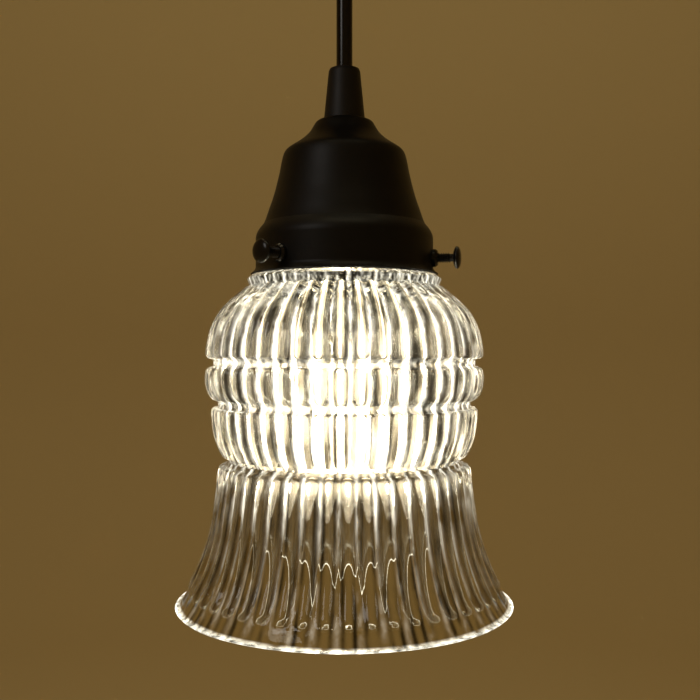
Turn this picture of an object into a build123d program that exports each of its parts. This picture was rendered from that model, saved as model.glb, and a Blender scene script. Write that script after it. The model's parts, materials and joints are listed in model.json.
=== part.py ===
# Pendant ceiling light: clear fluted glass shade in a spun holder, hung on a round cord from a ceiling canopy.
# Millimetres. The origin is the middle of the crossbar on the ceiling plane, +Z points up into the ceiling.
from build123d import *
import math
import os

# ---- levels, all as heights Z below the ceiling plane ----
CANOPY_DEPTH = 25.0
RELIEF_LENGTH = 17.8
HOLDER_TOP_Z = -127.9
PIVOT_Z = -CANOPY_DEPTH - RELIEF_LENGTH - 0.2
BASE_Z = -208.0

# ---- canopy and crossbar ----
CANOPY_R = 63.5
CANOPY_WALL = 1.0
CANOPY_CORNER = 7.0
BAR_LENGTH = 105.0
BAR_WIDTH = 19.0
BAR_THICK = 1.5
BOX_SCREW_SPACING = 88.9
BOX_SLOT_R = 2.3
BOX_SLOT_LENGTH = 9.0
STUD_SPACING = 69.85
STUD_R = 2.08
STUD_LENGTH = 29.5

# ---- 1/8 IP threaded tube, nuts and cord ----
TUBE_R = 4.9
TUBE_BORE_R = 3.4
CORD_R = 2.75
CORD_BORE_R = 3.1
RELIEF_WIDE_R = 7.05
RELIEF_NARROW_R = 5.4
HEX_FLATS = 14.0
LEAD_R = 0.9

# ---- holder (spun 2 1/4 inch fitter cup) ----
SHEET = 0.7
BAND_R = 30.2
BAND_INNER_R = BAND_R - SHEET
SCREW_Z = BASE_Z + 32.5
SCREW_ANGLES = {"thumbscrew_right": -12.0, "thumbscrew_front": 228.0, "thumbscrew_back": 108.0}
BOSS_R = 3.0
BOSS_PROUD = 1.8
SHANK_R = 1.75
SHANK_HOLE_R = 1.8
TIP_AT = 27.35
HEAD_AT = 37.2
HEAD_R = 3.75
HEAD_THICK = 2.6

# ---- lampholder and lamp (E26, A19) ----
SOCKET_R = 17.5
SHELL_R = 13.8
SHELL_INNER_R = 13.3
LAMP_R = 30.0
LAMP_CENTRE_Z = BASE_Z - 27.0
LAMP_GLASS = 0.9
LAMP_NECK_R = 12.15
CAP_R = 12.9
LAMP_TIP_Z = BASE_Z + 50.0

CLEAR = 0.05


def at(height):
    """Z of a height above the datum plane through the widest corner of the shade's dome."""
    return BASE_Z + height


def save(node, solids):
    """Write one node, a solid or a group of separate solids."""
    if isinstance(solids, list):
        shape = Compound(children=solids) if len(solids) > 1 else solids[0]
    else:
        shape = solids
    shape.label = node
    export_step(shape, os.path.join("parts", node + ".step"))


def turned(edges):
    """Revolve a closed run of edges in the XZ plane about the Z axis."""
    return revolve(make_face(Curve(children=list(edges))), Axis.Z, 360)


def lathe(points):
    """Revolve a closed polygon of (radius, z) points about the Z axis."""
    flat = [(r, 0, z) for r, z in points]
    return revolve(make_face(Polyline(*flat, close=True)), Axis.Z, 360)


def rod(radius, z_low, z_high, x=0.0, y=0.0, bore=0.0):
    """Upright round bar or tube between two heights."""
    solid = extrude(Circle(radius), z_high - z_low)
    if bore:
        solid -= extrude(Circle(bore), z_high - z_low)
    return Pos(x, y, z_low) * solid


def hexagon(flats, z_low, z_high, hole, x=0.0, y=0.0):
    """Hexagonal nut between two heights, its outer corners chamfered."""
    solid = extrude(RegularPolygon(flats / 2, 6, major_radius=False), z_high - z_low)
    corner = flats / math.sqrt(3)
    high = z_high - z_low
    cone = lathe([(0, 0), (corner - 0.5, 0), (corner, 0.3), (corner, high - 0.3), (corner - 0.5, high), (0, high)])
    solid = (solid & cone) - extrude(Circle(hole), high)
    return Pos(x, y, z_low) * solid


def offset_line(points, distance):
    """The same open line moved sideways by a distance, with mitred corners."""
    moved = []
    for i, (r, z) in enumerate(points):
        normals = []
        for a, b in ((i - 1, i), (i, i + 1)):
            if 0 <= a and b < len(points):
                dr = points[b][0] - points[a][0]
                dz = points[b][1] - points[a][1]
                size = math.hypot(dr, dz)
                normals.append((dz / size, -dr / size))
        n = (sum(v[0] for v in normals) / len(normals), sum(v[1] for v in normals) / len(normals))
        square = n[0] ** 2 + n[1] ** 2
        moved.append((r + n[0] / square * distance, z + n[1] / square * distance))
    return moved


def smooth_or_straight(points):
    """A spline through three points or more, a line through two, in the XZ plane."""
    flat = [(r, 0, z) for r, z in points]
    return Spline(*flat) if len(flat) > 2 else Line(*flat)


def sheet(segments, thickness):
    """Revolved sheet metal: smooth segments that meet at creases, thickness to the left of the line."""
    whole = [p for k, seg in enumerate(segments) for p in (seg if k == 0 else seg[1:])]
    inner = offset_line(whole, thickness)
    edges = []
    start = 0
    for seg in segments:
        stop = start + len(seg) - 1
        edges.append(smooth_or_straight(whole[start:stop + 1]))
        edges.append(smooth_or_straight(inner[start:stop + 1]))
        start = stop
    edges.append(smooth_or_straight([whole[0], inner[0]]))
    edges.append(smooth_or_straight([whole[-1], inner[-1]]))
    return turned(edges)


# ---------------------------------------------------------------- ceiling end

def make_canopy():
    """Shallow round cup, open to the ceiling, with a centre hole and two stud holes."""
    depth = CANOPY_DEPTH
    outer = [(0, -depth), (CANOPY_R, -depth), (CANOPY_R, 0), (0, 0)]
    cup = lathe(outer)
    low = cup.edges().filter_by(GeomType.CIRCLE).sort_by(Axis.Z)[0]
    cup = fillet(low, CANOPY_CORNER)
    wall = CANOPY_WALL
    hollow = lathe([(0, -depth + wall), (CANOPY_R - wall, -depth + wall), (CANOPY_R - wall, 0), (0, 0)])
    low = hollow.edges().filter_by(GeomType.CIRCLE).sort_by(Axis.Z)[0]
    hollow = fillet(low, CANOPY_CORNER - wall)
    cup -= hollow
    cup -= rod(TUBE_R + CLEAR, -depth - 1, -depth + 3)
    for side in (-1, 1):
        cup -= rod(STUD_R + 0.3, -depth - 1, -depth + 3, x=side * STUD_SPACING / 2)
    return cup


def make_crossbar():
    """Flat steel strap with two slots for the outlet box, two tapped stud holes and a centre hole."""
    bar = Pos(0, 0, -BAR_THICK / 2) * Box(BAR_LENGTH, BAR_WIDTH, BAR_THICK)
    bar = fillet(bar.edges().filter_by(Axis.Z), 5.0)
    for side in (-1, 1):
        slot = extrude(SlotOverall(BOX_SLOT_LENGTH, 2 * BOX_SLOT_R), BAR_THICK + 2)
        bar -= Pos(side * BOX_SCREW_SPACING / 2, 0, -BAR_THICK - 1) * slot
        bar -= rod(STUD_R + CLEAR, -BAR_THICK - 1, 1, x=side * STUD_SPACING / 2)
    bar -= rod(TUBE_R + CLEAR, -BAR_THICK - 1, 1)
    bar -= rod(1.8, -BAR_THICK - 1, 1, x=GROUND_X)
    return bar


GROUND_X = 17.0


def make_canopy_fasteners():
    """Two studs that hang from the crossbar, the nuts that lock them, and the round cap nuts below."""
    studs = []
    locks = []
    caps = []
    for side in (-1, 1):
        x = side * STUD_SPACING / 2
        studs.append(rod(STUD_R, -STUD_LENGTH, 0, x=x))
        locks.append(hexagon(8.7, -BAR_THICK - 3.0, -BAR_THICK, STUD_R + CLEAR, x=x))
        knob = lathe([(0, -9.5), (3.2, -9.0), (4.6, -7.4), (5.0, -5.4), (5.0, -1.2), (4.4, 0), (0, 0)])
        knob -= rod(STUD_R + CLEAR, -6.0, 1)
        caps.append(Pos(x, 0, -CANOPY_DEPTH) * knob)
    return studs, locks, caps


def make_relief_profile():
    """Tapered moulding with a rounded narrow mouth, standing on its wide end at Z = 0."""
    high = RELIEF_LENGTH
    points = [
        (CORD_BORE_R, high), (RELIEF_NARROW_R - 1.2, high), (RELIEF_NARROW_R - 0.35, high - 0.35),
        (RELIEF_NARROW_R, high - 1.2), (RELIEF_WIDE_R, 0.0), (TUBE_R + CLEAR, 0.0),
        (TUBE_R + CLEAR, 10.5), (CORD_BORE_R, 10.5),
    ]
    body = lathe(points)
    hole = Pos(0, 0, 13.6) * Rot(-90, 0, 0) * extrude(Circle(1.5 + CLEAR), 9.0)
    return body - hole


def make_relief_screw():
    """Slotted set screw in the back of the strain relief, its tip just short of the cord."""
    screw = Rot(-90, 0, 0) * extrude(Circle(1.5), 2.9)
    slot = Pos(0, 2.9, 0) * Box(0.6, 1.2, 4)
    return Pos(0, CORD_R + 0.05, 13.6) * (screw - slot)


def make_lead(points, radii):
    """Insulated conductor along straight runs joined by tangent arcs."""
    path = FilletPolyline(*points, radius=radii)
    start = Plane(origin=path @ 0, z_dir=path % 0)
    return sweep(start * Circle(LEAD_R), path=path)


def make_ceiling_leads():
    """Three conductors from the jacket's end: two to the wire connectors and one to the ground screw."""
    hot = make_lead([(1.1, -0.7, -14), (1.1, -0.7, -8), (1.1, -20, -8), (14, -26, -13)], 3.0)
    neutral = make_lead([(-1.1, -0.7, -14), (-1.1, -0.7, -8), (-3.4, -20, -8), (-14, -26, -13)], 3.0)
    ground = make_lead([(0, 1.3, -14), (0, 1.3, -5.2), (GROUND_X - 4.0, 1.3, -5.2)], 2.5)
    return hot, neutral, ground


def make_connector(side):
    """Twist-on wire connector, a ribless cone lying on the canopy floor, its mouth towards the lead."""
    cone = lathe([(0, 0), (4.4, 0), (4.4, 3), (2.9, 15.5), (1.8, 16.5), (0, 16.5)])
    cone -= extrude(Circle(LEAD_R + 0.4), 6.0)
    plane = Plane(origin=(side * 14.6, -26.3, -13.2), z_dir=(side * 13, -6, -5))
    return plane * cone


def make_ground_screw():
    """Hexagon-headed ground screw under the crossbar."""
    head = hexagon(6.4, -BAR_THICK - 2.6, -BAR_THICK - 0.2, 0.5, x=GROUND_X)
    shank = rod(1.7, -BAR_THICK - 2.2, 0.0, x=GROUND_X)
    washer = rod(3.6, -BAR_THICK - 0.5, -BAR_THICK, x=GROUND_X)
    return head + shank + washer


# ---------------------------------------------------------------- cord and holder

def make_cord():
    """Free cord: hangs straight from its pivot in the upper strain relief down into the holder."""
    low = at(71.6)
    ball = Pos(0, 0, PIVOT_Z) * Sphere(CORD_R)
    return rod(CORD_R, low, PIVOT_Z) + ball


HOLDER_LINE = [
    [(TUBE_R + CLEAR, at(80.1)), (7.4, at(80.1))],
    [
        (7.4, at(80.1)), (8.9, at(79.8)), (9.8, at(79.2)), (10.45, at(78.2)), (11.15, at(77.0)), (12.15, at(75.5)),
        (13.4, at(74.2)), (15.1, at(72.8)), (17.2, at(71.35)), (19.2, at(70.05)), (20.3, at(69.0)), (20.9, at(67.7)),
        (21.3, at(66.2)), (22.1, at(62.1)), (22.95, at(58.4)), (24.0, at(54.4)), (24.9, at(51.6)),
        (25.85, at(48.9)), (26.65, at(46.5)), (27.5, at(44.4)),
    ],
    [(27.5, at(44.4)), (28.5, at(43.2)), (29.4, at(41.9)), (29.95, at(40.7)), (BAND_R, at(39.3))],
    [(BAND_R, at(39.3)), (BAND_R, at(30.0))],
    [(BAND_R, at(30.0)), (30.4, at(29.0)), (31.0, at(28.2)), (31.9, at(27.5))],
]


def make_holder():
    """Spun bell with a cylindrical band, a flared lip and three holes for the screw bushes."""
    shell = sheet(HOLDER_LINE, SHEET)
    for angle in SCREW_ANGLES.values():
        hole = Rot(0, 0, angle) * Pos(0, 0, SCREW_Z) * Rot(0, 90, 0) * extrude(Circle(2.5 + CLEAR), 40)
        shell -= hole
    return shell


def radial(solid, angle):
    """Turn a solid built along +Z so that it points out of the band at an angle."""
    return Rot(0, 0, angle) * Pos(0, 0, SCREW_Z) * Rot(0, 90, 0) * solid


def make_boss():
    """Round threaded bush seated in the band."""
    inner = BAND_INNER_R - 0.3
    body = lathe([
        (0, inner), (2.5, inner), (2.5, BAND_R), (BOSS_R, BAND_R), (BOSS_R, BAND_R + BOSS_PROUD - 0.7),
        (BOSS_R - 0.6, BAND_R + BOSS_PROUD), (0, BAND_R + BOSS_PROUD),
    ])
    return body - Pos(0, 0, inner - 1) * extrude(Circle(SHANK_HOLE_R), 8)


def make_thumbscrew():
    """Thumbscrew: plain shank with a coned tip and a thin domed round head."""
    low = HEAD_AT
    top = HEAD_AT + HEAD_THICK
    return lathe([
        (0, TIP_AT), (1.0, TIP_AT), (SHANK_R, TIP_AT + 0.75), (SHANK_R, low), (HEAD_R - 0.35, low + 0.55),
        (HEAD_R, low + 0.9), (HEAD_R, top - 1.15), (HEAD_R - 0.35, top - 0.7), (HEAD_R - 1.6, top - 0.15), (0, top),
    ])


# ---------------------------------------------------------------- glass shade

SHADE_OUTSIDE = [
    [(24.6, at(39.3)), (27.6, at(39.3))],
    [(27.6, at(39.3)), (28.3, at(39.0)), (28.575, at(38.3))],
    [(28.575, at(38.3)), (28.575, at(36.2))],
    [(28.575, at(36.2)), (28.3, at(35.4)), (27.0, at(34.9))],
    [(27.0, at(34.9)), (27.0, at(30.4))],
    [(27.0, at(30.4)), (27.5, at(28.6)), (29.2, at(27.1)), (31.2, at(26.5)), (32.5, at(26.2)), (33.0, at(25.6))],
    [(33.0, at(25.6)), (33.1, at(23.3))],
    [
        (33.1, at(23.3)), (36.0, at(20.9)), (39.1, at(18.25)), (42.4, at(14.8)), (44.9, at(10.4)),
        (46.2, at(6.2)), (46.8, at(3.0)), (47.0, at(0.0)),
    ],
    [(47.0, at(0.0)), (45.3, at(-2.6))],
    [(45.3, at(-2.6)), (46.8, at(-5.0)), (47.2, at(-8.2)), (46.5, at(-12.2)), (44.4, at(-15.7)), (43.8, at(-16.4))],
    [
        (43.8, at(-16.4)), (45.0, at(-18.0)), (45.1, at(-21.1)), (44.35, at(-26.65)), (43.1, at(-30.55)),
        (41.2, at(-34.6)), (40.4, at(-35.5)),
    ],
    [
        (40.4, at(-35.5)), (42.3, at(-37.2)), (43.0, at(-39.2)), (43.4, at(-43.8)), (44.2, at(-50.0)),
        (45.6, at(-58.3)), (48.0, at(-66.3)), (51.4, at(-74.2)), (54.9, at(-79.9)), (57.0, at(-83.0)),
    ],
    [(57.0, at(-83.0)), (56.7, at(-84.0)), (55.6, at(-84.4))],
    [(55.6, at(-84.4)), (54.4, at(-83.7))],
]

SHADE_INSIDE = [
    (54.4, at(-83.7)), (51.6, at(-79.3)), (48.2, at(-74.0)), (44.9, at(-66.3)), (42.6, at(-58.3)),
    (41.2, at(-50.0)), (40.2, at(-43.8)), (38.9, at(-39.6)), (37.4, at(-35.6)), (38.8, at(-31.0)),
    (40.8, at(-25.0)), (41.6, at(-18.0)), (42.8, at(-11.0)), (43.4, at(-4.5)), (43.3, at(1.5)),
    (42.2, at(7.0)), (39.6, at(12.0)), (35.6, at(16.4)), (31.0, at(20.2)), (27.0, at(23.6)),
    (24.6, at(27.6)), (24.0, at(31.5)), (24.0, at(38.7)), (24.6, at(39.3)),
]


def make_shade():
    """Blown glass shade: beaded fitter neck, dome, two rings parted by grooves, and a flared skirt."""
    edges = [smooth_or_straight(seg) for seg in SHADE_OUTSIDE]
    edges.append(smooth_or_straight(SHADE_INSIDE[:-2]))
    edges.append(smooth_or_straight(SHADE_INSIDE[-3:-1]))
    edges.append(smooth_or_straight(SHADE_INSIDE[-2:]))
    return turned(edges)


# ---------------------------------------------------------------- lampholder

def make_socket_cap():
    """Upper half of the lampholder: insulating cup with a hub for the threaded tube."""
    cap = lathe([
        (TUBE_R + CLEAR, at(72.0)), (TUBE_R + CLEAR, at(74.3)), (7.0, at(74.3)), (7.4, at(73.6)), (12.0, at(73.2)),
        (SOCKET_R - 1.4, at(69.6)), (SOCKET_R, at(67.4)), (SOCKET_R, at(42.0)), (SOCKET_R - 1.2, at(42.0)),
        (SOCKET_R - 1.2, at(67.0)), (SOCKET_R - 2.4, at(68.8)), (11.4, at(72.0)),
    ])
    return cap


def make_socket_body():
    """Lower half of the lampholder: insulating tube with a floor above the screw shell."""
    body = lathe([
        (SHELL_R + CLEAR, at(28.5)), (SOCKET_R, at(28.5)), (SOCKET_R, at(41.9)), (SOCKET_R - 1.3, at(41.9)),
        (SOCKET_R - 1.3, at(52.4)), (SOCKET_R - 2.2, at(54.0)), (0, at(54.0)), (0, at(51.1)), (SHELL_R + CLEAR, at(51.1)),
    ])
    return body


def make_socket_metal():
    """Screw shell as a plain tube, the spring tongue over the lamp's contact, terminal screws and leads."""
    shell = rod(SHELL_R, at(29.0), at(51.0), bore=SHELL_INNER_R)
    tongue = Pos(0, 0, at(50.75)) * Box(12.0, 4.6, 0.6)
    terminals = []
    leads = []
    for side in (-1, 1):
        x = side * 11.0
        plate = rod(3.0, at(54.0), at(54.5), x=x)
        head = rod(2.5, at(54.5), at(55.7), x=x) - Pos(x, 0, at(55.7)) * Box(6, 0.7, 0.8)
        terminals.append(plate + head)
        points = [(side * 1.3, 0, at(71.5)), (side * 1.3, 0, at(55.6)), (side * 7.9, 0, at(55.6))]
        leads.append(make_lead(points, 1.6))
    return shell, tongue, terminals, leads


# ---------------------------------------------------------------- lamp

def lamp_line(inset):
    """Edges of the A19 outline from its lowest point to its neck, moved inwards by a wall thickness."""
    big = LAMP_R - inset
    neck = LAMP_NECK_R - inset
    neck_z = at(23.0)
    drop = neck_z - LAMP_CENTRE_Z
    cove = (neck ** 2 + drop ** 2 - big ** 2) / (2 * (big - neck))
    centre = (neck + cove, neck_z)
    reach = big + cove
    touch = (centre[0] * big / reach, LAMP_CENTRE_Z + drop * big / reach)
    turn = math.atan2(touch[1] - LAMP_CENTRE_Z, touch[0])
    middle = (turn - math.pi / 2) / 2
    on_ball = (big * math.cos(middle), LAMP_CENTRE_Z + big * math.sin(middle))
    half = math.atan2(drop, centre[0]) / 2
    on_cove = (centre[0] - cove * math.cos(half), centre[1] - cove * math.sin(half))
    ball = ThreePointArc((0, 0, LAMP_CENTRE_Z - big), (on_ball[0], 0, on_ball[1]), (touch[0], 0, touch[1]))
    flank = ThreePointArc((touch[0], 0, touch[1]), (on_cove[0], 0, on_cove[1]), (neck, 0, neck_z))
    return ball, flank, neck


def make_lamp_glass():
    """Hollow frosted envelope, its neck seated in the screw cap."""
    top = at(30.0)
    ball, flank, neck = lamp_line(0.0)
    ball_in, flank_in, neck_in = lamp_line(LAMP_GLASS)
    z = at(23.0)
    low = LAMP_CENTRE_Z - LAMP_R
    edges = [
        ball, flank, Line((neck, 0, z), (neck, 0, top)), Line((neck, 0, top), (neck_in, 0, top)),
        Line((neck_in, 0, top), (neck_in, 0, z)), flank_in, ball_in, Line((0, 0, low + LAMP_GLASS), (0, 0, low)),
    ]
    return turned(edges)


def make_lamp_cap():
    """E26 screw cap as a plain sleeve with a coned end."""
    return lathe([
        (CAP_R - 0.45, at(23.4)), (CAP_R, at(23.4)), (CAP_R, at(43.2)), (9.6, at(45.8)), (8.0, at(46.2)),
        (8.0, at(45.7)), (9.2, at(45.3)), (CAP_R - 0.45, at(42.8)),
    ])


def make_lamp_end():
    """Black glass insulator between the screw cap and the contact, and the contact button."""
    insulator = lathe([(0, at(45.0)), (7.9, at(45.0)), (7.9, at(46.6)), (5.2, at(49.0)), (0, at(49.0))])
    contact = lathe([(0, at(49.0)), (4.6, at(49.0)), (4.3, at(49.6)), (3.0, LAMP_TIP_Z), (0, LAMP_TIP_Z)])
    return insulator, contact


def make_lamp_inside():
    """Glass stem, the two wires that carry the filament, and the filament coil as a thin bar."""
    stem = lathe([
        (0, at(-4.0)), (2.6, at(-4.0)), (3.2, at(1.0)), (3.4, at(19.0)), (8.0, at(28.0)), (10.9, at(29.0)),
        (10.9, at(29.8)), (7.6, at(29.0)), (2.6, at(20.0)), (0, at(20.0)),
    ])
    wires = []
    for side in (-1, 1):
        start = (side * 1.6, 0, at(-4.1))
        end = (side * 10.0, 0, at(-28.4))
        span = math.dist(start, end)
        plane = Plane(origin=start, z_dir=tuple(b - a for a, b in zip(start, end)))
        wires.append(plane * extrude(Circle(0.35), span))
    filament = Pos(0, 0, at(-29.0)) * Rot(0, 90, 0) * Cylinder(0.5, 22.0)
    return stem, wires, filament


# ---------------------------------------------------------------- write the nodes

def main():
    os.makedirs("parts", exist_ok=True)
    save("canopy", make_canopy())
    save("crossbar", make_crossbar())
    studs, locks, caps = make_canopy_fasteners()
    save("canopy_studs", studs)
    save("stud_lock_nuts", locks)
    save("canopy_cap_nuts", caps)
    save("ground_screw", make_ground_screw())
    floor = -CANOPY_DEPTH + CANOPY_WALL
    save("canopy_nipple", rod(TUBE_R, -CANOPY_DEPTH - 10.0, -15.5, bore=TUBE_BORE_R))
    save("canopy_nut", hexagon(HEX_FLATS, floor, floor + 4.0, TUBE_R + CLEAR))
    upside_down = Pos(0, 0, -CANOPY_DEPTH) * Rot(180, 0, 0)
    save("canopy_strain_relief", upside_down * make_relief_profile())
    save("canopy_relief_screw", upside_down * make_relief_screw())
    save("cord_tail", rod(CORD_R, PIVOT_Z + CORD_R + 0.4, -14.0))
    hot, neutral, ground = make_ceiling_leads()
    save("lead_hot", hot)
    save("lead_neutral", neutral)
    save("lead_ground", ground)
    save("wire_connectors", [make_connector(-1), make_connector(1)])

    save("cord", make_cord())
    standing = Pos(0, 0, HOLDER_TOP_Z)
    save("strain_relief", standing * make_relief_profile())
    save("relief_screw", standing * make_relief_screw())
    save("nipple", rod(TUBE_R, at(71.7), HOLDER_TOP_Z + 10.0, bore=TUBE_BORE_R))
    save("lock_washer", rod(7.3, HOLDER_TOP_Z - 1.6, HOLDER_TOP_Z - 0.75, bore=TUBE_R + CLEAR))
    save("hex_nut", hexagon(HEX_FLATS, HOLDER_TOP_Z - 5.6, HOLDER_TOP_Z - 1.6, TUBE_R + CLEAR))
    save("holder", make_holder())
    save("screw_bosses", [radial(make_boss(), a) for a in SCREW_ANGLES.values()])
    for name, angle in SCREW_ANGLES.items():
        save(name, radial(make_thumbscrew(), angle))
    save("shade", make_shade())

    save("socket_cap", make_socket_cap())
    save("socket_body", make_socket_body())
    shell, tongue, terminals, leads = make_socket_metal()
    save("socket_shell", shell)
    save("socket_contact", tongue)
    save("socket_terminals", terminals)
    save("socket_leads", leads)

    save("bulb_glass", make_lamp_glass())
    save("bulb_cap", make_lamp_cap())
    insulator, contact = make_lamp_end()
    save("bulb_insulator", insulator)
    save("bulb_contact", contact)
    stem, wires, filament = make_lamp_inside()
    save("bulb_stem", stem)
    save("bulb_lead_wires", wires)
    save("bulb_filament", filament)
    print("free cord", round(PIVOT_Z - (HOLDER_TOP_Z + RELIEF_LENGTH), 2), "mm")


main()
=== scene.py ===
"""Looks for a small ceiling pendant: fluted glass shade, black bell holder, round cord and ceiling canopy."""

import json
import math

import bpy
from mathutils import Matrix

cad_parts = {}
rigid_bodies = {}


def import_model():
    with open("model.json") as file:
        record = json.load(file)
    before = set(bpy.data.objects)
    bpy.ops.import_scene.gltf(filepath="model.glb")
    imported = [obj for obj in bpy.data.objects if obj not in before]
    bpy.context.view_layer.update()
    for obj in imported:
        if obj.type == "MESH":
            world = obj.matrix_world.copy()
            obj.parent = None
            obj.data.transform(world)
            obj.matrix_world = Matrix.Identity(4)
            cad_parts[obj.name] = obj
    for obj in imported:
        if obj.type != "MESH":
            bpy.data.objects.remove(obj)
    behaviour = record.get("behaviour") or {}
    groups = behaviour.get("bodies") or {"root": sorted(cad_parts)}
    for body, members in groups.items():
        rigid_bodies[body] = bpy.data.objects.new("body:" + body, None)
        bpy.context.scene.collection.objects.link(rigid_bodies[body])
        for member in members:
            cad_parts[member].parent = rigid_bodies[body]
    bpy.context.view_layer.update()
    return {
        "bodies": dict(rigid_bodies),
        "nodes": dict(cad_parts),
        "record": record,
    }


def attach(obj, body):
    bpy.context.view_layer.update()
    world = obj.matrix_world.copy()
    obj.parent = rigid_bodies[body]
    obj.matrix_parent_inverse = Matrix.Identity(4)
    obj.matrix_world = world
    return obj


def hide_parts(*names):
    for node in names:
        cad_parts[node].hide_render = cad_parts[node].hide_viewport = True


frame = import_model()

# ---------------------------------------------------------------- sizes, in metres, as the solids have them
BASE_Z = -0.208
PIVOT_Z = -0.043
CORD_LOW_Z = BASE_Z + 0.0716
CORD_RADIUS = 0.00275
SCREW_Z = BASE_Z + 0.0325
COIL_Z = BASE_Z - 0.029
SCREW_ANGLES = {"thumbscrew_right": -12.0, "thumbscrew_front": 228.0, "thumbscrew_back": 108.0}
MM = 0.001

FLUTES = 48
PITCH = math.tau / FLUTES
FIRST_VALLEY = math.pi * 1.5 + math.radians(-1.1)
SKIRT_STAGGER = 0.375
SKIRT_TOP_Z = BASE_Z - 0.0358
GROOVES_Z = (BASE_Z - 0.0026, BASE_Z - 0.0164)

# ---------------------------------------------------------------- camera
LENS = 47.83
CAMERA_AT = (0.0019, -0.318, BASE_Z)
CAMERA_RISE = 0.00714


def set_camera():
    """A level camera at the height of the shade's widest corner."""
    data = bpy.data.cameras.new("camera")
    data.lens = LENS
    data.sensor_width = 36.0
    data.shift_y = CAMERA_RISE
    data.clip_start = 0.01
    data.clip_end = 20.0
    camera = bpy.data.objects.new("camera", data)
    camera.location = CAMERA_AT
    camera.rotation_euler = (math.radians(90.0), 0.0, 0.0)
    bpy.context.scene.collection.objects.link(camera)
    bpy.context.scene.camera = camera


set_camera()
bpy.context.scene.view_settings.view_transform = "Standard"


# ---------------------------------------------------------------- cord
POINT_RADIUS = 0.01


def make_cord():
    """The free cord, pulled straight by the light's weight from the upper strain relief into the holder."""
    curve = bpy.data.curves.new("cord_run", "CURVE")
    curve.dimensions = "3D"
    spline = curve.splines.new("NURBS")
    route = [(0, 0, PIVOT_Z), (0, 0, -0.0675), (0, 0, -0.092), (0, 0, -0.1145), (0, 0, CORD_LOW_Z)]
    spline.points.add(len(route) - 1)
    for point, place in zip(spline.points, route):
        point.co = (*place, 1.0)
        point.radius = POINT_RADIUS
    spline.order_u = 3
    spline.use_endpoint_u = True
    curve.bevel_depth = CORD_RADIUS / POINT_RADIUS
    curve.bevel_resolution = 10
    curve.resolution_u = 12
    curve.use_fill_caps = True
    cord = bpy.data.objects.new("cord_run", curve)
    bpy.context.scene.collection.objects.link(cord)
    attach(cord, "pendant")
    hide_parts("cord")
    return cord


cord = make_cord()


# ---------------------------------------------------------------- shader maths
class Wire:
    """One output socket, with arithmetic that adds Math nodes."""

    def __init__(self, bench, socket):
        self.bench = bench
        self.socket = socket

    def __add__(self, other):
        return self.bench.maths("ADD", self, other)

    def __sub__(self, other):
        return self.bench.maths("SUBTRACT", self, other)

    def __mul__(self, other):
        return self.bench.maths("MULTIPLY", self, other)

    def __pow__(self, other):
        return self.bench.maths("POWER", self, other)


class Bench:
    """A material's node tree, and the one way that nodes are added to it."""

    def __init__(self, name):
        self.material = bpy.data.materials.new(name)
        self.material.use_nodes = True
        self.tree = self.material.node_tree
        self.shader = self.tree.nodes["Principled BSDF"]

    def add(self, kind, settings=None, *values, out=0, **named):
        node = self.tree.nodes.new(kind)
        for key, value in (settings or {}).items():
            setattr(node, key, value)
        for place, value in [*enumerate(values), *named.items()]:
            name = place if isinstance(place, int) else place.replace("_", " ")
            self.plug(node.inputs[name], value)
        return Wire(self, node.outputs[out])

    def plug(self, socket, value):
        if isinstance(value, Wire):
            self.tree.links.new(value.socket, socket)
        elif value is not None:
            socket.default_value = value

    def set(self, **named):
        for name, value in named.items():
            self.plug(self.shader.inputs[name.replace("_", " ")], value)

    def place(self):
        return self.add("ShaderNodeTexCoord", None, out="Object")

    def noise(self, scale, detail=3.0, stretch=(1, 1, 1)):
        spot = self.add("ShaderNodeMapping", None, self.place(), Scale=stretch)
        return self.add("ShaderNodeTexNoise", None, Vector=spot, Scale=scale, Detail=detail, Roughness=0.55)

    def range(self, value, low, high, first=0.0, last=1.0, soft=False):
        """A number that goes from first to last as the value goes from low to high."""
        kind = "SMOOTHSTEP" if soft else "LINEAR"
        settings = {"clamp": True, "interpolation_type": kind}
        return self.add("ShaderNodeMapRange", settings, value, low, high, first, last)

    def maths(self, operation, *values):
        return self.add("ShaderNodeMath", {"operation": operation}, *values)

    def between(self, mask, low, high):
        """A number that goes from low to high as the mask goes from 0 to 1."""
        return mask * (high - low) + low

    def blend(self, mask, first, second):
        node = self.tree.nodes.new("ShaderNodeMix")
        node.data_type = "RGBA"
        self.plug(node.inputs["Factor"], mask)
        self.plug(node.inputs["A"], first)
        self.plug(node.inputs["B"], second)
        return Wire(self, node.outputs["Result"])

    def bump(self, height, distance):
        return self.add("ShaderNodeBump", None, Strength=1.0, Distance=distance, Height=height)


def lacquer(name, colour, rough, coat=0.0, grain=0.03):
    """Black lacquer or powder on metal: a fine skin texture and slightly uneven gloss."""
    b = Bench(name)
    cloud = b.noise(60.0, 4.0)
    fine = b.noise(2600.0, 2.0)
    b.set(Base_Color=b.blend(cloud, (*colour, 1.0), (*(min(1.0, c * 1.6) for c in colour), 1.0)),
          Roughness=b.between(cloud, rough - 0.05, rough + 0.07),
          Normal=b.bump(fine, grain * MM))
    b.shader.inputs["Coat Weight"].default_value = coat
    b.shader.inputs["Coat Roughness"].default_value = 0.25
    b.shader.inputs["Specular IOR Level"].default_value = 0.5
    return b.material


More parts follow.
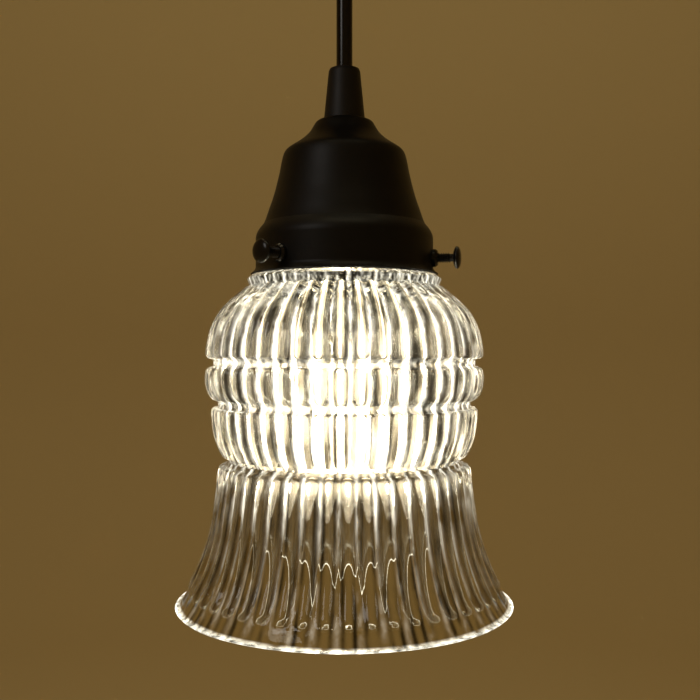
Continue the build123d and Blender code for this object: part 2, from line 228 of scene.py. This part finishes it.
def spun_lacquer(name):
    """Satin black lacquer over spun metal, faint rings under the skin, and a bare bright inside."""
    b = Bench(name)
    cloud = b.noise(45.0, 4.0)
    rings = b.noise(900.0, 2.0, stretch=(0.01, 0.01, 1.0))
    fine = b.noise(3000.0, 2.0)
    level = b.add("ShaderNodeVectorMath", {"operation": "MULTIPLY"}, b.place(), (1.0, 1.0, 0.0))
    facing = b.add("ShaderNodeTexCoord", None, out="Normal")
    outward = b.add("ShaderNodeVectorMath", {"operation": "DOT_PRODUCT"}, level, facing, out="Value")
    inside = b.maths("LESS_THAN", outward, -0.002)
    black = b.blend(cloud, (0.0065, 0.0065, 0.0070, 1.0), (0.0105, 0.0103, 0.0100, 1.0))
    b.set(Base_Color=b.blend(inside, black, (0.86, 0.80, 0.68, 1.0)), Metallic=inside,
          Roughness=b.between(cloud, 0.36, 0.46) + rings * 0.05,
          Normal=b.bump(rings * 0.7 + fine * 0.3, 0.02 * MM))
    b.shader.inputs["Specular IOR Level"].default_value = 0.33
    return b.material


def metal(name, colour, rough, worn=0.3):
    """Plain or plated metal with soft cloudy wear."""
    b = Bench(name)
    cloud = b.noise(140.0, 5.0)
    fine = b.noise(2200.0, 2.0)
    dark = tuple(c * (1.0 - worn) for c in colour)
    b.set(Base_Color=b.blend(cloud, (*dark, 1.0), (*colour, 1.0)),
          Roughness=b.between(cloud, rough - 0.06, rough + 0.1), Normal=b.bump(fine, 0.01 * MM))
    b.shader.inputs["Metallic"].default_value = 1.0
    return b.material


def moulding(name, colour, rough, grain=0.04):
    """Moulded plastic with a fine spark-eroded texture."""
    b = Bench(name)
    cloud = b.noise(80.0, 3.0)
    fine = b.noise(1800.0, 3.0)
    b.set(Base_Color=b.blend(cloud, (*(c * 0.85 for c in colour), 1.0), (*colour, 1.0)),
          Roughness=b.between(cloud, rough - 0.05, rough + 0.08), Normal=b.bump(fine, grain * MM))
    return b.material


def jacket(name):
    """Glossy black extruded cord jacket, with the faint waviness that the cores leave."""
    b = Bench(name)
    wave = b.noise(120.0, 2.0, stretch=(1.0, 1.0, 0.25))
    b.set(Base_Color=b.blend(wave, (0.006, 0.006, 0.006, 1.0), (0.012, 0.012, 0.012, 1.0)),
          Roughness=b.between(wave, 0.12, 0.22), Normal=b.bump(wave, 0.05 * MM))
    return b.material


UNLIT = (0.0, 0.0, 0.0, 1.0)
FILAMENT_GLOW = 40.0
ENVELOPE_GLOW = 0.4
# strength of the painted glow on the lamp's glass stem
STEM_PAINTED_GLOW = 6.0
# strength of the painted glow on the shade's glass
SHADE_PAINTED_GLOW = 1.6


def flute_wave(b, x, y, z):
    """Two masks: 0 on a flute's crest and 1 in its valley, and 1 below the top of the skirt."""
    turned = b.maths("ARCTAN2", y, x) - FIRST_VALLEY
    skirt = b.maths("LESS_THAN", z, SKIRT_TOP_Z)
    phase = turned * FLUTES - skirt * (SKIRT_STAGGER * math.tau)
    return b.maths("COSINE", phase) * -0.5 + 0.5, skirt


def painted_glow(b, wave, z):
    """Painted glow for the lamp's light that the glass gives back: valleys, grooves and the rim, broken into
    sparks.
    """
    patch = b.noise(330.0, 3.0, stretch=(1.0, 1.0, 0.3))
    spark = b.range(patch, 0.42, 0.66)
    near_lamp = b.range(z, BASE_Z - 0.060, BASE_Z - 0.034, 0.10, 1.0, soft=True)
    rim = b.range(z, BASE_Z - 0.0832, BASE_Z - 0.0841, soft=True)
    upper, lower = (b.range(b.maths("ABSOLUTE", z - level), 0.0003, 0.0014, 1.0, 0.0) for level in GROOVES_Z)
    in_valleys = spark * wave ** 6.0 * near_lamp * 0.7
    in_grooves = (upper + lower) * spark * 0.45
    on_rim = rim * (spark * 0.8 + wave * 0.45 + 0.05)
    return in_valleys + in_grooves + on_rim


def painted_shade_strokes(b, wave, skirt):
    """Painted shade for where the glass bends the view away to the dark: flanks of the flutes, and crests
    above the skirt.
    """
    streak = b.range(b.noise(150.0, 2.0, stretch=(1.0, 1.0, 0.25)), 0.42, 0.60, 0.15, 1.0)
    cell = b.range(b.noise(125.0, 1.0, stretch=(1.0, 1.0, 0.45)), 0.47, 0.60)
    flank = (wave * (wave * -1.0 + 1.0) * 4.0) ** 2.0
    crest = (wave * -1.0 + 1.0) ** 1.5 * (skirt * -1.0 + 1.0)
    both = {"operation": "ADD", "use_clamp": True}
    return b.add("ShaderNodeMath", both, flank * streak * 0.94, crest * cell * 0.85)


def fluted_glass(name):
    """Pressed glass with a straw tint, with a painted glow and painted dark strokes along its flutes for the
    lamp's light and shade in the glass.
    """
    b = Bench(name)
    spot = b.place()
    x, y, z = (b.add("ShaderNodeSeparateXYZ", None, spot, out=axis) for axis in "XYZ")
    wave, skirt = flute_wave(b, x, y, z)
    # painted glow of the valleys, grooves and rim, used as emission below
    light = painted_glow(b, wave, z)
    # painted shade on the flute flanks and crests, used to darken the base colour below
    dark = painted_shade_strokes(b, wave, skirt)
    b.set(Emission_Color=b.blend(light, UNLIT, (1.0, 0.95, 0.80, 1.0)),
          Base_Color=b.blend(dark, (0.97, 0.955, 0.86, 1.0), (0.05, 0.046, 0.035, 1.0)))
    b.shader.inputs["Transmission Weight"].default_value = 1.0
    b.shader.inputs["IOR"].default_value = 1.52
    b.shader.inputs["Roughness"].default_value = 0.0
    b.shader.inputs["Emission Strength"].default_value = SHADE_PAINTED_GLOW
    return b.material


def lit_glass(name):
    """Frosted envelope of a lamp that is on: a soft glow, strongest at the coil and faint at the bottom."""
    b = Bench(name)
    height = b.add("ShaderNodeSeparateXYZ", None, b.place(), out="Z")
    above = b.range(height, BASE_Z - 0.018, BASE_Z + 0.006, 1.0, 0.8, soft=True)
    below = b.range(height, BASE_Z - 0.047, BASE_Z - 0.037, 0.015, 1.0, soft=True)
    b.set(Emission_Color=b.blend(above * below, UNLIT, (1.0, 0.82, 0.54, 1.0)))
    b.shader.inputs["Base Color"].default_value = (0.97, 0.96, 0.94, 1.0)
    b.shader.inputs["Transmission Weight"].default_value = 1.0
    b.shader.inputs["IOR"].default_value = 1.5
    b.shader.inputs["Roughness"].default_value = 0.11
    b.shader.inputs["Emission Strength"].default_value = ENVELOPE_GLOW
    return b.material


def lit_stem(name):
    """Glass stem, with a painted glow for the coil's light that it carries up to the neck."""
    b = Bench(name)
    height = b.add("ShaderNodeSeparateXYZ", None, b.place(), out="Z")
    glow = b.range(height, BASE_Z - 0.004, BASE_Z + 0.028, 1.0, 0.25)
    b.set(Emission_Color=b.blend(glow, UNLIT, (1.0, 0.86, 0.64, 1.0)))
    b.shader.inputs["Base Color"].default_value = (0.95, 0.95, 0.93, 1.0)
    b.shader.inputs["Transmission Weight"].default_value = 1.0
    b.shader.inputs["Roughness"].default_value = 0.1
    b.shader.inputs["Emission Strength"].default_value = STEM_PAINTED_GLOW
    return b.material


def glowing(name):
    """Tungsten coil with the lamp on."""
    b = Bench(name)
    b.shader.inputs["Base Color"].default_value = (0.4, 0.38, 0.35, 1.0)
    b.shader.inputs["Emission Color"].default_value = (1.0, 0.84, 0.60, 1.0)
    b.shader.inputs["Emission Strength"].default_value = FILAMENT_GLOW
    return b.material


FINISHES = {
    "black_metal": lambda: lacquer("canopy_lacquer", (0.011, 0.011, 0.012), 0.42),
    "holder_metal": lambda: spun_lacquer("holder_lacquer"),
    "screw_metal": lambda: lacquer("screw_black", (0.009, 0.009, 0.010), 0.2, grain=0.008),
    "zinc_steel": lambda: metal("zinc_plate", (0.62, 0.62, 0.60), 0.34),
    "ground_green": lambda: lacquer("ground_green", (0.02, 0.22, 0.05), 0.35, grain=0.01),
    "relief_plastic": lambda: moulding("relief_black", (0.017, 0.017, 0.018), 0.5),
    "cord_jacket": lambda: jacket("cord_jacket"),
    "lead_black": lambda: moulding("lead_black", (0.02, 0.02, 0.02), 0.35, 0.01),
    "lead_white": lambda: moulding("lead_white", (0.8, 0.8, 0.77), 0.35, 0.01),
    "lead_green": lambda: moulding("lead_green", (0.03, 0.3, 0.08), 0.35, 0.01),
    "connector_plastic": lambda: moulding("connector_orange", (0.8, 0.26, 0.03), 0.38, 0.02),
    "socket_phenolic": lambda: moulding("socket_black", (0.02, 0.019, 0.018), 0.3, 0.015),
    "brass": lambda: metal("brass", (0.78, 0.57, 0.26), 0.25),
    "shade_glass": lambda: fluted_glass("shade_glass"),
    "bulb_glass": lambda: lit_glass("lamp_frosted_glass"),
    "stem_glass": lambda: lit_stem("stem_glass"),
    "cap_aluminium": lambda: metal("cap_aluminium", (0.8, 0.8, 0.79), 0.3),
    "cap_insulator": lambda: moulding("cap_black_glass", (0.01, 0.01, 0.012), 0.12, 0.005),
    "solder": lambda: metal("solder", (0.7, 0.7, 0.69), 0.4),
    "filament": lambda: glowing("filament"),
}
made_finishes = {}


def finish_of(slot):
    """The finish for a material slot, made once."""
    if slot not in made_finishes:
        made_finishes[slot] = FINISHES[slot]()
    return made_finishes[slot]


def dress(piece, slot):
    """Give the piece its one finish."""
    piece.data.materials.clear()
    piece.data.materials.append(finish_of(slot))


# ---------------------------------------------------------------- hand tools
def put_down():
    """Leave edit mode with nothing selected."""
    if bpy.context.object and bpy.context.object.mode != "OBJECT":
        bpy.ops.object.mode_set(mode="OBJECT")
    bpy.ops.object.select_all(action="DESELECT")


def pick_up(piece, mode="OBJECT"):
    put_down()
    piece.select_set(True)
    bpy.context.view_layer.objects.active = piece
    if mode == "EDIT":
        bpy.ops.object.mode_set(mode="EDIT")


def draw_line(name, points):
    """An open line of edges, drawn by extruding one vertex from point to point. Leaves it in edit mode."""
    put_down()
    bpy.ops.mesh.primitive_plane_add(size=0.001, location=points[0])
    piece = bpy.context.object
    piece.name = name
    piece.data.name = name
    bpy.ops.object.transform_apply(location=True)
    bpy.ops.object.mode_set(mode="EDIT")
    bpy.ops.mesh.select_all(action="SELECT")
    bpy.ops.mesh.merge(type="CENTER")
    for a, b in zip(points, points[1:]):
        step = tuple(q - p for p, q in zip(a, b))
        bpy.ops.mesh.extrude_region_move(TRANSFORM_OT_translate={"value": step})
    return piece


def close_up(piece, gap=2e-6):
    """Merge the seams and poles and point the faces outwards."""
    bpy.ops.mesh.select_all(action="SELECT")
    bpy.ops.mesh.remove_doubles(threshold=gap)
    bpy.ops.mesh.normals_make_consistent(inside=False)
    bpy.ops.object.mode_set(mode="OBJECT")


def turn(name, line, steps):
    """A closed piece turned about the Z axis from an outline of (radius, z) points."""
    piece = draw_line(name, [(r, 0.0, z) for r, z in line])
    bpy.ops.mesh.select_all(action="SELECT")
    bpy.ops.mesh.spin(steps=steps, angle=math.tau, center=(0, 0, 0), axis=(0, 0, 1))
    close_up(piece)
    return piece


def in_mm(line):
    return [(r * MM, z * MM) for r, z in line]


def smooth_line(points, count, ends=0.0):
    """Points along a smooth curve through the given ones, closer together towards its ends as asked."""
    last = len(points) - 1
    made = []
    for k in range(count + 1):
        t = k / count
        t = t * (1.0 - ends) + ends * (0.5 - 0.5 * math.cos(math.pi * t))
        spot = t * last
        i = min(int(spot), last - 1)
        f = spot - i
        p = [points[min(max(j, 0), last)] for j in (i - 1, i, i + 1, i + 2)]
        made.append(tuple(
            0.5 * (2 * b + (c - a) * f + (2 * a - 5 * b + 4 * c - d) * f ** 2
                   + (3 * b - a - 3 * c + d) * f ** 3)
            for a, b, c, d in zip(*p)))
    return made


def smooth(piece, degrees):
    """Smooth shading, with the edges sharper than this left crisp."""
    pick_up(piece)
    bpy.ops.object.shade_smooth_by_angle(angle=math.radians(degrees))


# ---------------------------------------------------------------- fluted shade
COLUMNS = 8

# outlines of (radius, height above the base line), in millimetres
NECK = [
    (24.6, 39.3), (27.6, 39.3), (28.3, 39.0), (28.575, 38.3), (28.575, 36.2), (28.3, 35.4), (27.0, 34.9),
    (27.0, 30.4),
]
SHOULDER = [(27.0, 30.4), (27.5, 28.6), (29.2, 27.1), (31.2, 26.5), (32.5, 26.2), (33.0, 25.6)]
DOME = [
    (33.1, 23.3), (36.0, 20.9), (39.1, 18.25), (42.4, 14.8), (44.9, 10.4), (46.2, 6.2), (46.8, 3.0),
    (47.0, 0.3), (46.7, -0.9), (46.05, -1.8), (45.3, -2.6),
]
MIDDLE_RING = [(45.3, -2.6), (46.8, -5.0), (47.2, -8.2), (46.5, -12.2), (44.4, -15.7), (43.8, -16.4)]
LOWER_RING = [
    (43.8, -16.4), (45.0, -18.0), (45.1, -21.1), (44.35, -26.65), (43.1, -30.55), (41.2, -34.6),
    (40.4, -35.5),
]
SKIRT = [
    (40.4, -35.5), (42.3, -37.2), (43.0, -39.2), (43.4, -43.8), (44.2, -50.0), (45.6, -58.3), (48.0, -66.3),
    (51.4, -74.2), (54.2, -78.8),
]
RIM = [
    (54.9, -79.9), (57.0, -83.0), (56.95, -83.6), (56.5, -84.15), (55.6, -84.4), (54.9, -84.2), (54.4, -83.7),
]
INSIDE = [
    (54.4, -83.7), (51.6, -79.3), (48.2, -74.0), (44.9, -66.3), (42.6, -58.3), (41.2, -50.0), (40.2, -43.8),
    (38.9, -39.6), (37.4, -35.6), (38.8, -31.0), (40.8, -25.0), (41.6, -18.0), (42.8, -11.0), (43.4, -4.5),
    (43.3, 1.5), (42.2, 7.0), (39.6, 12.0), (35.6, 16.4), (31.0, 20.2), (27.0, 23.6), (24.6, 27.6),
    (24.0, 31.5),
]
BORE_TOP = [(24.0, 38.7), (24.6, 39.3)]
DEPTH = 1.9
DEPTH_AT_RADIUS = 45.0
INNER_SHARE = 0.45
FULL_PUSH = 1.3
# line, steps, share of the depth, stagger, and the reach of the flutes' round ends at the top and the foot
TIERS = (
    (DOME, 26, 0.9, 0.0, 0.35, 3.2),
    (MIDDLE_RING, 18, 1.0, 0.0, 3.0, 3.0),
    (LOWER_RING, 18, 1.0, 0.0, 2.6, 3.0),
    (SKIRT, 30, 1.0, SKIRT_STAGGER, 3.4, 3.6),
)


def plain(line):
    """Rows without any flute."""
    return [(r, z, 0.0, 0.0, 0.0) for r, z in line]


def tier_rows(line, count, share, stagger, top_reach, low_reach):
    """Rows of one tier of flutes, deep in the middle and rounded off at both ends."""
    points = smooth_line(line, count, 0.75)
    run = [0.0]
    for a, b in zip(points, points[1:]):
        run.append(run[-1] + math.dist(a, b))
    rows = []
    for (r, z), s in zip(points, run):
        near_top = max(0.0, 1.0 - s / top_reach)
        near_low = max(0.0, 1.0 - (run[-1] - s) / low_reach)
        rows.append((r, z, DEPTH * share * r / DEPTH_AT_RADIUS, max(near_top, near_low), stagger))
    return rows


def inside_rows():
    """Rows of the inside, whose shallow flutes fade out at the neck and at the rim."""
    rows = []
    for r, z in smooth_line(INSIDE, 56)[1:]:
        stagger = SKIRT_STAGGER if z < -36.0 else 0.0
        fade = max(0.0, min(1.0, (19.0 - z) / 4.0)) * max(0.0, min(1.0, (z + 80.0) / 4.0))
        rows.append((r, z, -DEPTH * INNER_SHARE * fade, 0.0, stagger))
    return rows


def flute_rows():
    """The outline of one flute as rows of (radius, z, depth, nearness to a rounded end, stagger)."""
    rows = plain(NECK + smooth_line(SHOULDER, 8)[1:])
    for tier in TIERS:
        rows += tier_rows(*tier)
    rows += [(r, z, DEPTH, 1.0, SKIRT_STAGGER) for r, z in RIM[:2]]
    rows += plain(RIM[2:]) + inside_rows() + plain(BORE_TOP)
    kept = [rows[0]]
    for row in rows[1:]:
        if math.dist(row[:2], kept[-1][:2]) > 0.02:
            kept.append(row)
    return kept


def draw_strip(rows):
    """The outline spun over one pitch: a strip as wide as a flute, still without its hollows."""
    across, along = math.cos(FIRST_VALLEY), math.sin(FIRST_VALLEY)
    points = [(r * MM * across, r * MM * along, BASE_Z + z * MM) for r, z, *_ in rows]
    strip = draw_line("fluted_shade", points)
    bpy.ops.mesh.select_all(action="SELECT")
    bpy.ops.mesh.spin(steps=COLUMNS, angle=PITCH, center=(0, 0, 0), axis=(0, 0, 1))
    close_up(strip)
    return strip


def hollow_strip(strip, rows):
    """Push the strip's skin in towards its two valleys, and the inside's skin with it, more gently."""
    look_up = {(round(r, 3), round(z, 3)): (r, z, *rest) for r, z, *rest in rows}
    groups = {way: strip.vertex_groups.new(name=way) for way in ("valley", "inner_wave")}
    for v in strip.data.vertices:
        x, y, z = v.co
        key = (round(math.hypot(x, y) / MM, 3), round((z - BASE_Z) / MM, 3))
        row = look_up.get(key) or min(rows, key=lambda w: math.dist(w[:2], key))
        _, _, depth, end, stagger = row
        if depth == 0.0:
            continue
        across = ((math.atan2(y, x) - FIRST_VALLEY) % math.tau) / PITCH
        side = (across - stagger + 0.5) % 1.0 - 0.5
        share = min(1.0, (2 * side) ** 2 + end ** 2)
        group = groups["valley" if depth > 0 else "inner_wave"]
        group.add([v.index], share * abs(depth) / FULL_PUSH, "REPLACE")
    for name in groups:
        work = strip.modifiers.new(name, "DISPLACE")
        work.direction = "NORMAL"
        work.mid_level = 0.0
        work.strength = -FULL_PUSH * MM
        work.vertex_group = name
    pick_up(strip)
    for name in groups:
        bpy.ops.object.modifier_apply(modifier=name)
    strip.vertex_groups.clear()


def make_shade():
    """One flute is drawn and hollowed, and copied round the axis."""
    rows = flute_rows()
    shade = draw_strip(rows)
    hollow_strip(shade, rows)
    bpy.ops.object.mode_set(mode="EDIT")
    bpy.ops.mesh.select_all(action="SELECT")
    bpy.ops.mesh.spin(steps=FLUTES, angle=math.tau, center=(0, 0, 0), axis=(0, 0, 1), dupli=True)
    close_up(shade, 3e-5)
    smooth(shade, 32.0)
    dress(shade, "shade_glass")
    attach(shade, "pendant")
    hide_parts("shade")


# ---------------------------------------------------------------- thumbscrews
# radii and distances from the holder's axis, in millimetres
THREAD_PITCH = 0.7938
THREAD_TURNS = 10
SHANK_R = 1.75
CORE_R = 1.3
TIP_AT = 27.35
HEAD_AT = 37.2
HEAD_END = 39.8
HEAD_LINE = [
    (0.0, 36.4), (CORE_R, 36.4), (CORE_R, HEAD_AT), (2.0, HEAD_AT + 0.05), (2.8, HEAD_AT + 0.3),
    (3.4, HEAD_AT + 0.62), (3.68, HEAD_AT + 0.86), (3.75, HEAD_AT + 1.05), (3.75, HEAD_END - 1.2),
    (3.66, HEAD_END - 0.96), (3.36, HEAD_END - 0.66), (2.7, HEAD_END - 0.34), (1.9, HEAD_END - 0.13),
    (1.0, HEAD_END - 0.03), (0.0, HEAD_END),
]
CORE_LINE = [(0.0, TIP_AT), (0.95, TIP_AT), (CORE_R, TIP_AT + 0.4), (CORE_R, 36.8), (0.0, 36.8)]
RIDGE_AT = TIP_AT + 0.3
RIDGE_LINE = [
    (1.15, 0.03), (1.3, 0.06), (1.68, 0.3), (SHANK_R, 0.37), (1.68, 0.44), (1.3, 0.68), (1.15, 0.71),
    (1.15, 0.03),
]


def cut_thread():
    """The thread: a closed ridge wound up the shank, with its two ends filled."""
    thread = draw_line("thumbscrew_thread", [(r * MM, 0.0, (z + RIDGE_AT) * MM) for r, z in RIDGE_LINE])
    bpy.ops.mesh.select_all(action="SELECT")
    bpy.ops.mesh.remove_doubles(threshold=2e-6)
    bpy.ops.object.mode_set(mode="OBJECT")
    sweep = thread.modifiers.new("thread", "SCREW")
    sweep.axis = "Z"
    sweep.angle = math.tau
    sweep.screw_offset = THREAD_PITCH * MM
    sweep.iterations = THREAD_TURNS
    sweep.steps = 24
    sweep.render_steps = 24
    sweep.use_merge_vertices = False
    pick_up(thread)
    bpy.ops.object.modifier_apply(modifier=sweep.name)
    bpy.ops.object.mode_set(mode="EDIT")
    bpy.ops.mesh.select_mode(type="VERT")
    bpy.ops.mesh.select_all(action="DESELECT")
    bpy.ops.mesh.select_non_manifold()
    bpy.ops.mesh.fill(use_beauty=True)
    close_up(thread)
    return thread


def make_thumbscrews():
    """One thumbscrew, of a head, a core and a thread, copied to the three places."""
    pattern = turn("thumbscrew_pattern", in_mm(HEAD_LINE), 40)
    core = turn("thumbscrew_core", in_mm(CORE_LINE), 24)
    thread = cut_thread()
    pick_up(pattern)
    core.select_set(True)
    thread.select_set(True)
    bpy.ops.object.join()
    smooth(pattern, 32.0)
    for name, angle in SCREW_ANGLES.items():
        screw = pattern.copy()
        screw.data = pattern.data.copy()
        screw.name = name + "_turned"
        screw.data.name = screw.name
        bpy.context.scene.collection.objects.link(screw)
        pick_up(screw)
        screw.rotation_euler = (0.0, math.radians(90.0), math.radians(angle))
        screw.location = (0.0, 0.0, SCREW_Z)
        bpy.ops.object.transform_apply(location=True, rotation=True, scale=True)
        dress(screw, "screw_metal")
        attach(screw, name)
        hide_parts(name)
    bpy.data.objects.remove(pattern, do_unlink=True)


# ---------------------------------------------------------------- room and light
FLOOR_Z = -0.75
FLOOR_R = 1.5
SWEEP_R = 0.6
WALL_WARMTH = (1.0, 0.87, 0.55)
# name, height, radius and watts of the light that the lamp gives
LAMP_LIGHTS = (("coil_light", COIL_Z, 0.0165, 11.0), ("neck_light", BASE_Z - 0.006, 0.009, 4.5))


def area_light(name, place, aim, size, watts, colour):
    """A soft rectangular studio lamp at a place, aimed at another."""
    data = bpy.data.lights.new(name, "AREA")
    data.shape = "RECTANGLE"
    data.size, data.size_y = size
    data.energy = watts
    data.color = colour
    lamp = bpy.data.objects.new(name, data)
    lamp.location = place
    way = [a - b for a, b in zip(aim, place)]
    flat = math.hypot(way[0], way[1])
    lamp.rotation_euler = (math.atan2(flat, -way[2]), 0.0, math.atan2(way[1], way[0]) - math.pi / 2)
    bpy.context.scene.collection.objects.link(lamp)


def light_lamp():
    """The light that the lamp's coil gives, which goes where the lamp goes."""
    for name, z, radius, watts in LAMP_LIGHTS:
        data = bpy.data.lights.new(name, "POINT")
        data.energy = watts
        data.shadow_soft_size = radius
        data.color = (1.0, 0.91, 0.76)
        lamp = bpy.data.objects.new(name, data)
        lamp.location = (0.0, 0.0, z)
        bpy.context.scene.collection.objects.link(lamp)
        lamp.parent = frame["bodies"]["bulb"]


def wall_paint():
    """Plain warm paint, a little paler on the +Y side."""
    b = Bench("pale_paint")
    depth = b.add("ShaderNodeSeparateXYZ", None, b.place(), out="Y")
    back = b.range(depth, -1.2, 0.6, soft=True)
    b.set(Base_Color=b.blend(back, (0.56, 0.45, 0.26, 1.0), (0.66, 0.52, 0.28, 1.0)))
    b.shader.inputs["Roughness"].default_value = 0.85
    return b.material


def make_room():
    """A plain floor that sweeps up into a plain wall all round, a plain top, and soft lamps."""
    angles = [math.pi / 24 * k for k in range(1, 13)]
    line = [(0.0, FLOOR_Z), (FLOOR_R, FLOOR_Z)]
    line += [(FLOOR_R + SWEEP_R * math.sin(a), FLOOR_Z + SWEEP_R - SWEEP_R * math.cos(a)) for a in angles]
    line += [(FLOOR_R + SWEEP_R, 1.6), (1.9, 1.8), (0.0, 1.8)]
    room = turn("pale_room", line, 72)
    smooth(room, 60.0)
    room.data.materials.append(wall_paint())
    world = bpy.data.worlds.new("soft_world")
    world.use_nodes = True
    world.node_tree.nodes["Background"].inputs["Color"].default_value = (1.0, 0.97, 0.92, 1.0)
    world.node_tree.nodes["Background"].inputs["Strength"].default_value = 0.035
    bpy.context.scene.world = world
    area_light("key_light", (-0.9, -0.9, 0.55), (0.0, 0.0, -0.18), (0.5, 0.5), 1.6, (1.0, 0.97, 0.93))
    area_light("wall_light", (0.0, 0.5, 1.3), (0.0, 1.9, -0.3), (1.2, 0.6), 6.5, WALL_WARMTH)
    area_light("front_light", (0.0, -0.5, 1.3), (0.0, -1.9, -0.3), (1.2, 0.6), 3.6, WALL_WARMTH)


# ---------------------------------------------------------------- put it together
for node, piece in frame["nodes"].items():
    slot = next(s["material_slot"] for s in frame["record"]["subparts"] if s["node"] == node)
    dress(piece, slot)
cord.data.materials.append(finish_of("cord_jacket"))
make_shade()
make_thumbscrews()
light_lamp()
make_room()
put_down()
